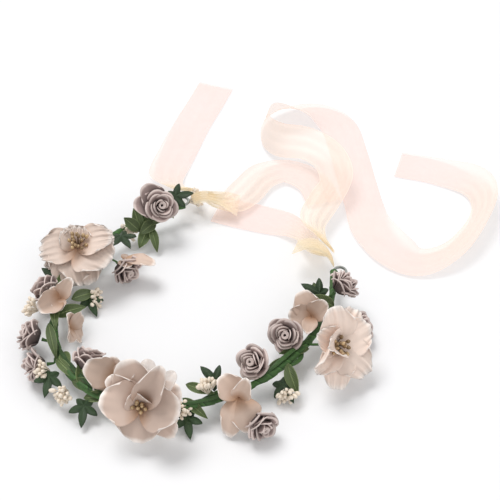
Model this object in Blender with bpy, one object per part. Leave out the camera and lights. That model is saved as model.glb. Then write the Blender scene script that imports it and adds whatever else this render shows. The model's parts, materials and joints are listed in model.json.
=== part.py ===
"""Flower crown: a taped wire hoop, open at the back, that carries wired flowers and ribbons.

Metres, +Z up. The origin is the middle of the hoop on the surface that the crown lies on.
Every flower, leaf and berry sprig is a pick: a head on a stem whose foot is taped to the hoop.
"""

import math

import bmesh
import bpy
from mathutils import Matrix, Vector
from mathutils.bvhtree import BVHTree

MM = 0.001
UP = Vector((0, 0, 1))

# Clearance between two pieces that touch
GAP = 0.3 * MM

# Hoop: an oval pressed out of a round hoop, open between its two eyelets
HOOP_LONG_RADIUS = 99 * MM
HOOP_SHORT_RADIUS = 79 * MM
HOOP_LONG_DIRECTION = 50
HOOP_HEIGHT = 13 * MM
HOOP_FIRST_STATION = 97
HOOP_LAST_STATION = 374
WIRE_RADIUS = 1.0 * MM
TAPE_RADIUS = 2.4 * MM
EYELET_RADIUS = 4.0 * MM
EYELET_TURN = 290

# Ribbons
RIBBON_WIDTH = 27 * MM
RIBBON_THICKNESS = 0.5 * MM
KNOT_RADIUS = 4.5 * MM
KNOT_LOOP_RADIUS = 1.1 * MM

# Blossoms
BLOSSOM_RADIUS = 26 * MM
BLOSSOM_PETALS = 5
PETAL_THICKNESS = 0.5 * MM
PETAL_HOLE_RADIUS = 1.4 * MM
INNER_LAYER_SHARE = 0.7
INNER_LAYER_LIFT = 1.6 * MM
STAMEN_HEIGHT = 9 * MM
STAMEN_RADIUS = 3.2 * MM
CALYX_RADIUS = 3.6 * MM
BLOSSOM_NECK = 9 * MM
STEM_RADIUS = 0.8 * MM

# Roses
ROSE_RADIUS = 9.5 * MM
ROSE_STEM_RADIUS = 0.7 * MM
ROSE_NECK = 4 * MM

# Florets, leaves and berries
FLORET_RADIUS = 14 * MM
LEAF_THICKNESS = 0.4 * MM
STALK_RADIUS = 0.55 * MM
IVY_RADIUS = 12 * MM
OVAL_LEAF_LENGTH = 20 * MM
OVAL_LEAF_WIDTH = 8 * MM
BERRY_RADIUS = 1.4 * MM
BERRY_STALK = 8 * MM

# A pick that would touch a piece already in place gets a longer stem, in steps
CLEAR_STEP = 1.5 * MM
CLEAR_TRIES = 16
RIBBON_STEP = 0.5 * MM
FLOOR_GAP = 0.05 * MM

# Picks: station on the hoop in degrees, distance out from the hoop's wire and height of the head
# above the floor in mm, then, all in degrees, the azimuth and elevation that the head faces, and
# its roll. A leaf has the azimuth and elevation of its tip, then those that its face looks along.
BLOSSOMS = {
    "blossom_left": (158, 2, 26, 202, 70, 10),
    "blossom_front": (253.6, 8, 25, -93, 43, 20),
    "blossom_right": (329, 20, 24, -40, 34, 0),
}
ROSES = {
    "rose_end_left": (110, -9, 27, -70, 45, 0),
    "rose_inner_left": (152, -27, 10, -50, -5, 30),
    "rose_side_back": (177.4, 11, 14, 150, 25, 0),
    "rose_side_middle": (199, 15, 14, 175, 20, 15),
    "rose_side_front": (211, 16, 12, 200, 10, 0),
    "rose_corner": (224, -11, 20.5, 60, 50, 0),
    "rose_front": (299.4, -7, 23, -130, 40, 0),
    "rose_inner_right": (324.5, -10, 20, -110, 45, 20),
    "rose_end_right": (359, 7, 25, 20, 40, 0),
    "rose_low_right": (291.5, 28, 10.4, -60, 0, 0),
}
FLORETS = {
    "floret_left": (186, -2, 20, -170, 55, 0),
    "floret_inner_left": (198.3, -9, 12.5, -5, 5, 30),
    "floret_under_blossom": (149, -24, 22, -10, 80, 0),
    "floret_corner": (237.5, -12, 20, 120, 55, 0),
    "floret_drop": (287, 11, 22, -85, 40, 45),
    "floret_right": (341, -5, 20, 130, 40, 0),
}
IVY = {
    "ivy_back": (136, -9, 19.5, -60, 10, -60, 55),
    "ivy_side": (218.5, 12, 14.5, -100, -15, -90, 50),
    "ivy_corner": (234, 10, 11, -95, -20, -80, 60),
    "ivy_front": (268, 5, 8, -80, -15, -90, 60),
    "ivy_end_left": (101, 2, 21, 10, 10, -70, 60),
    "ivy_end_right": (356, -7, 21, 160, 20, -100, 50),
}
OVAL_LEAVES = {
    "leaf_back": (122, -2, 17, 110, 50, -60, 40),
    "leaf_inner_left": (178, -13, 11, 20, 5, -90, 60),
    "leaf_along_hoop": (207, 2, 19.5, -75, -10, -90, 70),
    "leaf_front_right": (311, 11, 12, -70, -30, 150, 60),
}
BERRIES = {
    "berries_left": (185.5, 18, 14, 170, 20, 0),
    "berries_corner": (226, 14, 12, -125, 15, 0),
    "berries_front": (276, -6, 23, 100, 50, 0),
    "berries_right": (305.6, 16, 7, -80, -5, 0),
}

# Ribbon tails, from each knot: x, y and z in mm from the knot's foot on the floor, the tilt of the
# ribbon's width out of level in degrees, and the share of its width that isn't gathered.
TAILS = {
    "ribbon_left_tail_back": ("left", [
        (-5, 6, 13, 40, 0.25), (-16, 12, 11, 30, 0.55), (-24, 31, 5, 12, 0.9), (-17, 62, 1.5, 4, 1),
        (-8, 93, 0, 0, 1), (1, 118, 0, 0, 1), (9, 141, 0, 0, 1),
    ]),
    "ribbon_left_tail_inner": ("left", [
        (5.5, -1, 13, 60, 0.25), (13, -3, 11, 40, 0.4), (23, 1, 8, 20, 0.7), (33, 12, 8, 25, 0.8),
        (43, 29, 6, 15, 0.8), (56, 39, 3, 0, 0.9), (69, 36, 2.5, 0, 0.9), (80, 25, 2.5, 0, 0.9),
        (86, 6, 2.5, 0, 0.9),
    ]),
    "ribbon_right_tail_long": ("right", [
        (-4, 7, 13, 60, 0.25), (-11, 22, 12, 40, 0.4), (-15, 38, 12, 15, 0.7), (-7, 58, 12, 5, 0.8),
        (2, 80, 13, -20, 0.9), (-3, 101, 15, -25, 0.9), (-18, 115, 15, -35, 0.9), (-36, 119, 15, -55, 0.9),
        (-46, 131, 14, -75, 0.9), (-45, 149, 14, -70, 0.9), (-31, 160, 11, -40, 0.9), (-9, 163, 5, -10, 1),
        (7, 152, 1, 0, 1), (13, 124, 0, 0, 1), (17, 94, 0, 0, 1), (21, 64, 2, 0, 1),
        (24, 38, 7, 20, 1), (37, 16, 7, 20, 1), (55, 7, 3.5, 5, 0.9), (77, 16, 6, -20, 0.8),
        (95, 40, 9, -40, 0.8), (103, 63, 9, -40, 0.8), (98, 84, 7, -25, 0.9), (76, 100, 2, -5, 1),
        (48, 109, 0, 0, 1),
    ]),
    "ribbon_right_tail_short": ("right", [
        (-7, 4, 11, 30, 0.25), (-16, 14, 7, 20, 0.4), (-21, 32, 2.5, 8, 0.65), (-33, 45, 0.5, 0, 0.9),
        (-48, 51, 0, 0, 1), (-64, 56, 0, 0, 1), (-80, 62, 0, 0, 1),
    ]),
}

COLOURS = {
    "wire": ((0.35, 0.36, 0.34), 0.4, 0.9),
    "tape": ((0.10, 0.24, 0.07), 0.7, 0),
    "ribbon": ((0.95, 0.86, 0.82), 0.6, 0),
    "petal": ((0.76, 0.60, 0.51), 0.8, 0),
    "stamen": ((0.42, 0.28, 0.15), 0.35, 0.4),
    "rose": ((0.36, 0.27, 0.26), 0.9, 0),
    "floret": ((0.72, 0.54, 0.45), 0.8, 0),
    "ivy": ((0.04, 0.12, 0.05), 0.5, 0),
    "leaf": ((0.20, 0.30, 0.10), 0.5, 0),
    "berry": ((0.84, 0.74, 0.62), 0.6, 0),
    "stem": ((0.10, 0.22, 0.07), 0.6, 0),
}


def clear_scene():
    for obj in list(bpy.data.objects):
        bpy.data.objects.remove(obj, do_unlink=True)


def material(name):
    found = bpy.data.materials.get(name)
    if found:
        return found
    colour, roughness, metallic = COLOURS[name]
    made = bpy.data.materials.new(name)
    made.use_nodes = True
    shader = made.node_tree.nodes["Principled BSDF"]
    shader.inputs["Base Color"].default_value = (*colour, 1)
    shader.inputs["Roughness"].default_value = roughness
    shader.inputs["Metallic"].default_value = metallic
    return made


def direction(azimuth, elevation):
    flat = math.cos(math.radians(elevation))
    turn = math.radians(azimuth)
    return Vector((flat * math.cos(turn), flat * math.sin(turn), math.sin(math.radians(elevation))))


def hoop_radius(station):
    turn = math.radians(station - HOOP_LONG_DIRECTION)
    across = math.hypot(HOOP_SHORT_RADIUS * math.cos(turn), HOOP_LONG_RADIUS * math.sin(turn))
    return HOOP_LONG_RADIUS * HOOP_SHORT_RADIUS / across


def hoop_point(station):
    return direction(station, 0) * hoop_radius(station) + UP * HOOP_HEIGHT


def station_of(point):
    """The station abreast of a point, kept on the taped stretch of the hoop."""
    station = math.degrees(math.atan2(point.y, point.x)) % 360
    if station < HOOP_LAST_STATION - 360:
        station += 360
    return min(max(station, HOOP_FIRST_STATION + 1), HOOP_LAST_STATION - 1)


def hoop_tangent(station):
    return (hoop_point(station + 0.5) - hoop_point(station - 0.5)).normalized()


def turned_to(facing, roll=0):
    """A rotation whose Z looks along facing, with X level before the roll."""
    side = UP.cross(facing)
    side = side.normalized() if side.length > 1e-6 else Vector((1, 0, 0))
    turn = Matrix((side, facing.cross(side), facing)).transposed().to_4x4()
    return turn @ Matrix.Rotation(math.radians(roll), 4, "Z")


def bezier(start, leave, arrive, end, count):
    points = []
    for index in range(count + 1):
        t = index / count
        s = 1 - t
        points.append(s**3 * start + 3 * s * s * t * leave + 3 * s * t * t * arrive + t**3 * end)
    return points


def smooth_route(points, steps):
    """Points on a Catmull-Rom curve through the given vectors."""
    ends = [points[0] * 2 - points[1]] + points + [points[-1] * 2 - points[-2]]
    route = []
    for a, b, c, d in zip(ends, ends[1:], ends[2:], ends[3:]):
        for index in range(steps):
            t = index / steps
            route.append(0.5 * (2 * b + (c - a) * t + (2 * a - 5 * b + 4 * c - d) * t * t
                                + (3 * b - a - 3 * c + d) * t**3))
    return route + [points[-1]]


# Shapes: each returns a bmesh in the place where it belongs


def rings_joined(rings, first_closed=True, last_closed=True, looped=False):
    """A skin over rings of points. Its ends are filled, left open, or joined to each other."""
    bm = bmesh.new()
    rows = [[bm.verts.new(point) for point in ring] for ring in rings]
    for low, high in zip(rows, rows[1:] + rows[:1] * looped):
        for index in range(len(low)):
            after = (index + 1) % len(low)
            bm.faces.new((low[index], low[after], high[after], high[index]))
    if first_closed and not looped:
        bm.faces.new(rows[0][::-1])
    if last_closed and not looped:
        bm.faces.new(rows[-1])
    bmesh.ops.recalc_face_normals(bm, faces=bm.faces)
    return bm


def tube_rings(path, radii, sides):
    frame = None
    rings = []
    for index, (point, radius) in enumerate(zip(path, radii)):
        along = (path[min(index + 1, len(path) - 1)] - path[max(index - 1, 0)]).normalized()
        if frame is None:
            frame = turned_to(along).to_3x3()
        else:
            frame = (frame @ UP).rotation_difference(along).to_matrix() @ frame
        turns = [2 * math.pi * side / sides for side in range(sides)]
        rings.append([
            point + frame @ Vector((radius * math.cos(turn), radius * math.sin(turn), 0)) for turn in turns
        ])
    return rings


def tube(path, radii, sides=6):
    """A round bar of changing radius along a path."""
    return rings_joined(tube_rings(path, radii, sides))


def thickened(bm, thickness):
    """A sheet given its thickness, half of it on each side."""
    bmesh.ops.recalc_face_normals(bm, faces=bm.faces)
    bm.normal_update()
    normals = [vert.normal.copy() for vert in bm.verts]
    for vert, normal in zip(bm.verts, normals):
        vert.co += normal * thickness / 2
    bmesh.ops.solidify(bm, geom=list(bm.faces), thickness=thickness)
    bmesh.ops.recalc_face_normals(bm, faces=bm.faces)
    return bm


def strip(path, widths, tilts, across=2):
    """A flat band along a path: each width lies level, then turns about the path by its tilt."""
    bm = bmesh.new()
    rows = []
    for index, (point, width, tilt) in enumerate(zip(path, widths, tilts)):
        along = (path[min(index + 1, len(path) - 1)] - path[max(index - 1, 0)]).normalized()
        level = along.cross(UP).normalized()
        side = Matrix.Rotation(math.radians(tilt), 3, along) @ level
        rows.append([
            bm.verts.new(point + side * width * (step / across - 0.5)) for step in range(across + 1)
        ])
    for low, high in zip(rows, rows[1:]):
        for index in range(across):
            bm.faces.new((low[index], low[index + 1], high[index + 1], high[index]))
    return bm


def petal_layer(place, radius, petals, notch, cup, hole, rings=3, points=4):
    """Rings of points on a layer of petals cut from one disc: notched between them, and cupped."""
    rows = []
    for ring in range(rings + 1):
        share = ring / rings
        row = []
        for step in range(petals * points):
            turn = 2 * math.pi * step / (petals * points)
            lobe = 1 - notch * abs(math.sin(petals * turn / 2)) ** 3 * share
            reach = hole + (radius * lobe - hole) * share
            lift = cup * radius * share**1.6 * (1 - 0.12 * math.cos(petals * turn))
            row.append(place @ Vector((reach * math.cos(turn), reach * math.sin(turn), lift)))
        rows.append(row)
    return rows


def rose_head(place, radius):
    """A rolled foam rose: a rim of three petals round a raised spiral, drawn in to a narrow base."""
    profile = ((0.18, -0.75), (0.6, -0.5), (0.93, 0), (1, 0.45), (0.84, 0.62), (0.66, 0.5),
               (0.5, 0.68), (0.3, 0.56), (0.14, 0.74))
    sides = 12
    rings = []
    for share, height in profile:
        ring = []
        for side in range(sides):
            turn = 2 * math.pi * side / sides
            wave = 0.07 * math.cos(3 * turn + 4 * share) * share
            reach = radius * share * (1 + wave)
            ring.append(place @ Vector((reach * math.cos(turn), reach * math.sin(turn),
                                        radius * (height + wave))))
        rings.append(ring)
    return rings_joined(rings)


def ivy_blade(place, radius):
    """A five-pointed leaf with its tip along Y, raised a little between its veins."""
    points = 20
    rings = []
    for share in (0.12, 0.55, 1):
        ring = []
        for step in range(points):
            turn = 2 * math.pi * step / points
            point_share = abs(math.cos(2.5 * (turn - math.pi / 2)))
            lobe = 0.6 + 0.4 * point_share
            reach = radius * share * lobe * (1 + 0.25 * math.sin(turn)) / 1.25
            fold = 0.1 * radius * share * (1 - point_share)
            ring.append(place @ Vector((reach * math.cos(turn), reach * math.sin(turn), fold)))
        rings.append(ring)
    return thickened(rings_joined(rings, last_closed=False), LEAF_THICKNESS)


def oval_blade(place, length, width):
    """A pointed oval leaf along Y, folded up along its middle vein and bent back at its tip."""
    bm = bmesh.new()
    rows = []
    steps = 6
    for step in range(steps + 1):
        share = step / steps
        half = width / 2 * max(0.1, math.sin(math.pi * share ** 0.9) ** 0.8)
        droop = -0.12 * length * share**2
        along = length * (share - 0.5)
        rows.append([
            bm.verts.new(place @ Vector((half * side, along, droop + 0.3 * half * abs(side))))
            for side in (-1, 0, 1)
        ])
    for low, high in zip(rows, rows[1:]):
        for index in range(2):
            bm.faces.new((low[index], low[index + 1], high[index + 1], high[index]))
    return thickened(bm, LEAF_THICKNESS)


def united(first, second):
    """Two overlapping bodies made one."""
    objects = []
    for bm in (first, second):
        mesh = bpy.data.meshes.new("whole")
        bm.to_mesh(mesh)
        bm.free()
        obj = bpy.data.objects.new("whole", mesh)
        bpy.context.scene.collection.objects.link(obj)
        objects.append(obj)
    union = objects[0].modifiers.new("union", "BOOLEAN")
    union.operation = "UNION"
    union.use_self = True
    union.object = objects[1]
    bpy.context.view_layer.update()
    evaluated = objects[0].evaluated_get(bpy.context.evaluated_depsgraph_get())
    bm = bmesh.new()
    bm.from_mesh(evaluated.to_mesh())
    evaluated.to_mesh_clear()
    for obj in objects:
        bpy.data.meshes.remove(obj.data)
    return bm


# Picks: each returns its pieces as (name, bmesh, colour)


def foot_of(station, head):
    """Where a stem leaves the tape, and the way it leaves: straight from the wire towards the head."""
    centre = hoop_point(station)
    away = head - centre
    tangent = hoop_tangent(station)
    away = (away - tangent * away.dot(tangent)).normalized()
    return centre + away * (TAPE_RADIUS + GAP), away


def stem_path(station, end, arriving, count=4):
    """A curved stem from the tape to end, arriving there along the given direction."""
    foot, away = foot_of(station, end)
    pull = (end - foot).length * 0.4
    return bezier(foot, foot + away * pull, end - arriving * pull, end, count)


def blossom(name, station, head, facing, roll):
    place = Matrix.Translation(head) @ turned_to(facing, roll)
    inner_place = place @ Matrix.Translation((0, 0, INNER_LAYER_LIFT))
    inner_place = inner_place @ Matrix.Rotation(math.pi / BLOSSOM_PETALS, 4, "Z")
    shoulder = PETAL_THICKNESS / 2 + GAP
    tip = INNER_LAYER_LIFT + PETAL_THICKNESS
    path = stem_path(station, head - facing * BLOSSOM_NECK, facing)
    radii = [STEM_RADIUS] * len(path)
    tip_radius = PETAL_HOLE_RADIUS - GAP
    swellings = ((-BLOSSOM_NECK / 2, STEM_RADIUS * 1.5), (-shoulder - STEM_RADIUS, CALYX_RADIUS * 0.8),
                 (-shoulder, CALYX_RADIUS), (-shoulder + GAP / 4, tip_radius), (tip, tip_radius))
    for height, radius in swellings:
        path.append(head + facing * height)
        radii.append(radius)
    outer = petal_layer(place, BLOSSOM_RADIUS, BLOSSOM_PETALS, 0.2, 0.25, PETAL_HOLE_RADIUS)
    outer = rings_joined(outer, False, False)
    inner_radius = BLOSSOM_RADIUS * INNER_LAYER_SHARE
    inner = petal_layer(inner_place, inner_radius, BLOSSOM_PETALS, 0.25, 0.5, PETAL_HOLE_RADIUS)
    inner = rings_joined(inner, False, False)
    tuft = [head + facing * height for height in (tip + GAP, tip + GAP + STAMEN_RADIUS, STAMEN_HEIGHT)]
    return [
        (name + "_stem", tube(path, radii, 8), "stem"),
        (name + "_outer_petals", thickened(outer, PETAL_THICKNESS), "petal"),
        (name + "_inner_petals", thickened(inner, PETAL_THICKNESS), "petal"),
        (name + "_stamens", tube(tuft, [tip_radius, STAMEN_RADIUS * 0.8, STAMEN_RADIUS], 8), "stamen"),
    ]


def rose(name, station, head, facing, roll):
    place = Matrix.Translation(head) @ turned_to(facing, roll)
    base = head - facing * (ROSE_RADIUS * 0.75 + GAP)
    path = stem_path(station, base - facing * ROSE_NECK, facing) + [base]
    radii = [ROSE_STEM_RADIUS] * (len(path) - 1) + [ROSE_STEM_RADIUS * 1.8]
    head_shape = rose_head(place, ROSE_RADIUS)
    return [(name + "_stem", tube(path, radii), "stem"), (name + "_head", head_shape, "rose")]


def floret(name, station, head, facing, roll):
    place = Matrix.Translation(head) @ turned_to(facing, roll)
    rings = petal_layer(place, FLORET_RADIUS, 4, 0.55, 0.35, FLORET_RADIUS * 0.12)
    petals = thickened(rings_joined(rings, last_closed=False), PETAL_THICKNESS)
    path = stem_path(station, head - facing * ROSE_NECK, facing) + [head + facing * PETAL_THICKNESS]
    return [(name, united(petals, tube(path, [STALK_RADIUS] * len(path))), "floret")]


def leaf_place(head, tip, facing):
    side = tip.cross(facing).normalized()
    turn = Matrix((side, tip, side.cross(tip))).transposed().to_4x4()
    return Matrix.Translation(head) @ turn


def leaf(head, tip, facing, blade, base_length):
    """A blade on its stalk, which leaves the tape abreast of the blade's base and runs in under it."""
    base = head - tip * base_length
    path = stem_path(station_of(base), base, tip, 3) + [base + tip * STALK_RADIUS * 4]
    stalk = tube(path, [STALK_RADIUS] * len(path))
    return united(blade(leaf_place(head, tip, facing)), stalk)


def ivy(name, station, head, tip, facing):
    made = leaf(head, tip, facing, lambda place: ivy_blade(place, IVY_RADIUS), IVY_RADIUS * 0.3)
    return [(name, made, "ivy")]


def oval_leaf(name, station, head, tip, facing):
    made = leaf(head, tip, facing,
                lambda place: oval_blade(place, OVAL_LEAF_LENGTH, OVAL_LEAF_WIDTH), OVAL_LEAF_LENGTH * 0.42)
    return [(name, made, "leaf")]


def berries(name, station, head, facing, roll):
    fork = head - facing * BERRY_STALK
    path = stem_path(station, fork, facing) + [fork + facing * STALK_RADIUS * 2]
    made = tube(path, [STALK_RADIUS] * (len(path) - 1) + [STALK_RADIUS * 1.6])
    turned = turned_to(facing, roll)
    for turn, spread, reach in ((0, 0.1, 1.15), (90, 0.55, 0.95), (210, 0.6, 1), (330, 0.5, 0.85)):
        lean = Matrix.Rotation(math.radians(turn), 4, "Z") @ Matrix.Rotation(spread, 4, "Y")
        along = turned @ lean @ UP
        heights = (0, 0.65, 0.82, 1, 1.18)
        radii = (0.25, 0.25, 0.9, 1, 0.4)
        made = united(made, tube([fork + along * BERRY_STALK * reach * height for height in heights],
                                 [BERRY_RADIUS * radius for radius in radii]))
    return [(name, made, "berry")]


# Assembly

in_place = []


def add_piece(name, bm, colour, origin):
    in_place.append(BVHTree.FromBMesh(bm, epsilon=GAP / 2))
    bmesh.ops.translate(bm, verts=bm.verts, vec=-origin)
    mesh = bpy.data.meshes.new(name)
    bm.to_mesh(mesh)
    bm.free()
    mesh.materials.append(material(colour))
    mesh.shade_smooth()
    mesh.set_sharp_from_angle(angle=math.radians(50))
    obj = bpy.data.objects.new(name, mesh)
    obj.location = origin
    bpy.context.scene.collection.objects.link(obj)


def is_clear(bm):
    """Whether a piece stands off the floor and off the pieces already in place."""
    tree = BVHTree.FromBMesh(bm, epsilon=GAP / 2)
    return min(vert.co.z for vert in bm.verts) > FLOOR_GAP and not any(tree.overlap(other) for other in in_place)


def add_pick(make, name, station, out, up, *turns):
    """Adds a pick, whose stem grows until it is clear of the floor and of the pieces already in place."""
    centre = hoop_point(station)
    head = direction(station, 0) * (hoop_radius(station) + out * MM) + UP * up * MM
    away = (head - centre).normalized()
    level = (away - UP * away.z).normalized()
    grown = [way * CLEAR_STEP * step for step in range(CLEAR_TRIES) for way in (away, level + UP / 2, UP)]
    for move in grown:
        pieces = make(name, station, head + move, *turns)
        if all(is_clear(bm) for _, bm, _ in pieces):
            break
    for piece in pieces:
        add_piece(*piece, centre)


def eyelet(end_station, way):
    """The wire's end bent into an open ring beyond the hoop: the ring's points, centre and far point."""
    end = hoop_point(end_station)
    onward = hoop_tangent(end_station) * way
    outward = onward.cross(UP) * way
    centre = end + outward * EYELET_RADIUS
    turns = [math.radians(EYELET_TURN) * step / 12 for step in range(1, 13)]
    points = [centre + EYELET_RADIUS * (onward * math.sin(t) - outward * math.cos(t)) for t in turns]
    return points, centre, onward


def add_hoop():
    span = HOOP_LAST_STATION - HOOP_FIRST_STATION
    count = 40
    along = [hoop_point(HOOP_FIRST_STATION + span * step / count) for step in range(count + 1)]
    first, _, _ = eyelet(HOOP_FIRST_STATION, -1)
    last, _, _ = eyelet(HOOP_LAST_STATION, 1)
    path = first[::-1] + along + last
    add_piece("hoop_wire", tube(path, [WIRE_RADIUS] * len(path)), "wire", Vector())
    outside = tube_rings(along, [TAPE_RADIUS] * len(along), 6)
    inside = tube_rings(along, [WIRE_RADIUS + GAP] * len(along), 6)
    add_piece("tape_wrap", rings_joined(outside + inside[::-1], looped=True), "tape", Vector())


def knot_centre(end_station, way):
    _, centre, onward = eyelet(end_station, way)
    return centre + onward * (EYELET_RADIUS * 2 + KNOT_RADIUS * 0.8)


def add_ribbon_knot(name, end_station, way):
    """A ribbon's knot: a loop through the eyelet and the lump that draws it tight."""
    _, centre, onward = eyelet(end_station, way)
    far = centre + onward * EYELET_RADIUS
    side = onward.cross(UP)
    rings = []
    for step in range(14):
        turn = 2 * math.pi * step / 14
        out = onward * math.cos(turn) + UP * math.sin(turn)
        rings.append([
            far + out * EYELET_RADIUS
            + KNOT_LOOP_RADIUS * (out * math.cos(around) + side * math.sin(around))
            for around in (math.pi * corner / 3 for corner in range(6))
        ])
    loop = rings_joined(rings, looped=True)
    middle = knot_centre(end_station, way)
    heights = (-0.98, -0.7, -0.2, 0.3, 0.75, 0.98)
    lump = tube([middle + onward * KNOT_RADIUS * height for height in heights],
                [KNOT_RADIUS * math.sqrt(1 - height**2) for height in heights], 8)
    add_piece(name, united(loop, lump), "ribbon", Vector())


def add_ribbon_tail(name, knot, route):
    """A ribbon tail along its route, resting on the floor and arched over any tail in its way."""
    foot = Vector((knot.x, knot.y, 0))
    turns = smooth_route([Vector((row[3], row[4], 0)) for row in route], 3)
    tilts = [turn.x for turn in turns]
    widths = [RIBBON_WIDTH * turn.y for turn in turns]
    for step in range(CLEAR_TRIES):
        path = smooth_route([foot + Vector(row[:3]) * MM for row in route], 3)
        for place, (point, width, tilt) in enumerate(zip(path, widths, tilts)):
            arch = math.sin(math.pi * place / (len(path) - 1))
            lowest = width / 2 * abs(math.sin(math.radians(tilt))) + RIBBON_THICKNESS / 2 + FLOOR_GAP
            point.z = max(point.z + RIBBON_STEP * step * arch, lowest)
        bm = thickened(strip(path, widths, tilts), RIBBON_THICKNESS)
        tree = BVHTree.FromBMesh(bm)
        if not any(tree.overlap(other) for other in in_place):
            break
    add_piece(name, bm, "ribbon", Vector())


def main():
    clear_scene()
    add_hoop()
    add_ribbon_knot("ribbon_left_knot", HOOP_FIRST_STATION, -1)
    add_ribbon_knot("ribbon_right_knot", HOOP_LAST_STATION, 1)
    knots = {"left": knot_centre(HOOP_FIRST_STATION, -1), "right": knot_centre(HOOP_LAST_STATION, 1)}
    for name, (end, route) in TAILS.items():
        add_ribbon_tail(name, knots[end], route)
    for make, table in ((blossom, BLOSSOMS), (rose, ROSES), (floret, FLORETS), (berries, BERRIES)):
        for name, (station, out, up, azimuth, elevation, roll) in table.items():
            add_pick(make, name, station, out, up, direction(azimuth, elevation), roll)
    for make, table in ((ivy, IVY), (oval_leaf, OVAL_LEAVES)):
        for name, (station, out, up, *turns) in table.items():
            add_pick(make, name, station, out, up, direction(*turns[:2]), direction(*turns[2:]))


main()
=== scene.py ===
"""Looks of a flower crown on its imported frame: cloth blossoms, foam roses, leaves, berries, ribbon."""

import json
import math
import random

import bmesh
import bpy
from bpy.props import FloatProperty, FloatVectorProperty, PointerProperty
from mathutils import Euler, Matrix, Vector, noise

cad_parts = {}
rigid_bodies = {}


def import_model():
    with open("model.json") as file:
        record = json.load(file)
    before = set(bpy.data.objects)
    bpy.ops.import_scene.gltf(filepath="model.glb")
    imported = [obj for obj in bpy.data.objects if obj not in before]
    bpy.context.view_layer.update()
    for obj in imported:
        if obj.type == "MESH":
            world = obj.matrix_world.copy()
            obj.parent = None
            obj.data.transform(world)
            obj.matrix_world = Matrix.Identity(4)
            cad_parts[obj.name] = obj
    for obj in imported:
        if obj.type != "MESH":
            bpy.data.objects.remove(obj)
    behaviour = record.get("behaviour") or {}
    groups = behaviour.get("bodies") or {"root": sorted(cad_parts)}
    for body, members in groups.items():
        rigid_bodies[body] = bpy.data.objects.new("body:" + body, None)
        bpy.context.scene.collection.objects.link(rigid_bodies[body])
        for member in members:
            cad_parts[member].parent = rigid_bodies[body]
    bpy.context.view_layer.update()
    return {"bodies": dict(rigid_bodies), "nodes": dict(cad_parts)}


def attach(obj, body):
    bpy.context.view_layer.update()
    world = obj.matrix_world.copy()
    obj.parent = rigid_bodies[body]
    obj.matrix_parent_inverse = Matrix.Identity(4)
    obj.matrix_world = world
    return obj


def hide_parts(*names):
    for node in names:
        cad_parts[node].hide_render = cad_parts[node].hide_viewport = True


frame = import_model()

bl_info = {
    "name": "Flower Crown",
    "version": (1, 0, 0),
    "blender": (4, 5, 0),
    "location": "3D View > Sidebar > Flower Crown",
    "description": "Builds a flower crown of cloth blossoms, foam roses, leaves, berries and ribbon",
    "category": "Add Mesh",
}

MM = 0.001
UP = Vector((0, 0, 1))
# Degrees: the way that the hoop's long axis points, and the stations of its two ends
HOOP_LONG_DIRECTION = 50
HOOP_ENDS = (97, 374)
EYELET_RADIUS = 4 * MM
KNOT_RADIUS = 4.5 * MM
TAPE_TURNS = 46
STRAP_STEPS = 12
SPRIG_BERRIES = 22
# Radians from one berry of a sprig to the next
GOLDEN_TURN = 2.4
# In metres, and in degrees from looking straight down
CAMERA_PLACE = (0.0338, -0.6128, 0.6453)
CAMERA_TILT = 46
# The sun lights: name, place that each shines from, width in degrees and strength
LIGHTS = (("key", (-0.35, 0.4, 1.2), 30, 1.7), ("fill", (0.7, -0.9, 1.0), 60, 0.4))

# Picks: station on the hoop in degrees, distance out from the wire and height above the floor in mm,
# then the azimuth and elevation that the head faces. A rose has its roll too.
BLOSSOMS = {
    "blossom_left": (158, 2, 26, -90, 68),
    "blossom_front": (253.6, 8, 25, -90, 43),
    "blossom_right": (329, 20, 24, -62, 42),
}
ROSES = {
    "rose_end_left": (110, -9, 27, -70, 45, 0),
    "rose_inner_left": (152, -27, 11.8, -50, -5, 30),
    "rose_side_back": (177.4, 11, 14, 150, 25, 0),
    "rose_side_middle": (199, 15, 14, 175, 20, 15),
    "rose_side_front": (211, 16, 12, 200, 10, 0),
    "rose_corner": (224, -11, 20.5, 60, 50, 0),
    "rose_front": (299.4, -7, 23, -130, 40, 0),
    "rose_inner_right": (324.5, -10, 20, -110, 45, 20),
    "rose_end_right": (359, 7, 25, 20, 40, 0),
    "rose_low_right": (291.5, 28, 11.6, -60, 0, 0),
    "rose_far_right": (345, 24, 11.5, -20, 30, 0),
}
FLORETS = {
    "floret_left": (186, -2, 20, -95, 45),
    "floret_inner_left": (198.3, -9, 12.5, -10, 20),
    "floret_under_blossom": (149, -24, 17, 90, 72),
    "floret_corner": (237.5, -12, 20, -100, 45),
    "floret_drop": (287, 11, 22, -90, 44),
    "floret_right": (341, -5, 20, -100, 48),
}
BERRIES = {
    "berries_left": (185.5, 18, 14, 170, 20),
    "berries_corner": (226, 14, 12, -125, 15),
    "berries_front": (276, -6, 23, 100, 50),
    "berries_right": (305.6, 16, 7, -80, -5),
    "berries_end_left": (91, 8, 10, 20, 20),
    "berries_back": (127, -3, 12, 0, 40),
    "berries_inner_left": (177, -21, 7, -20, 20),
    "berries_side_front": (215, 16, 16, -160, 20),
    "berries_beside_front": (266, 3.5, 14, -60, 30),
    "berries_inner_right": (354, -8, 14, 120, 30),
}
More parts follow.
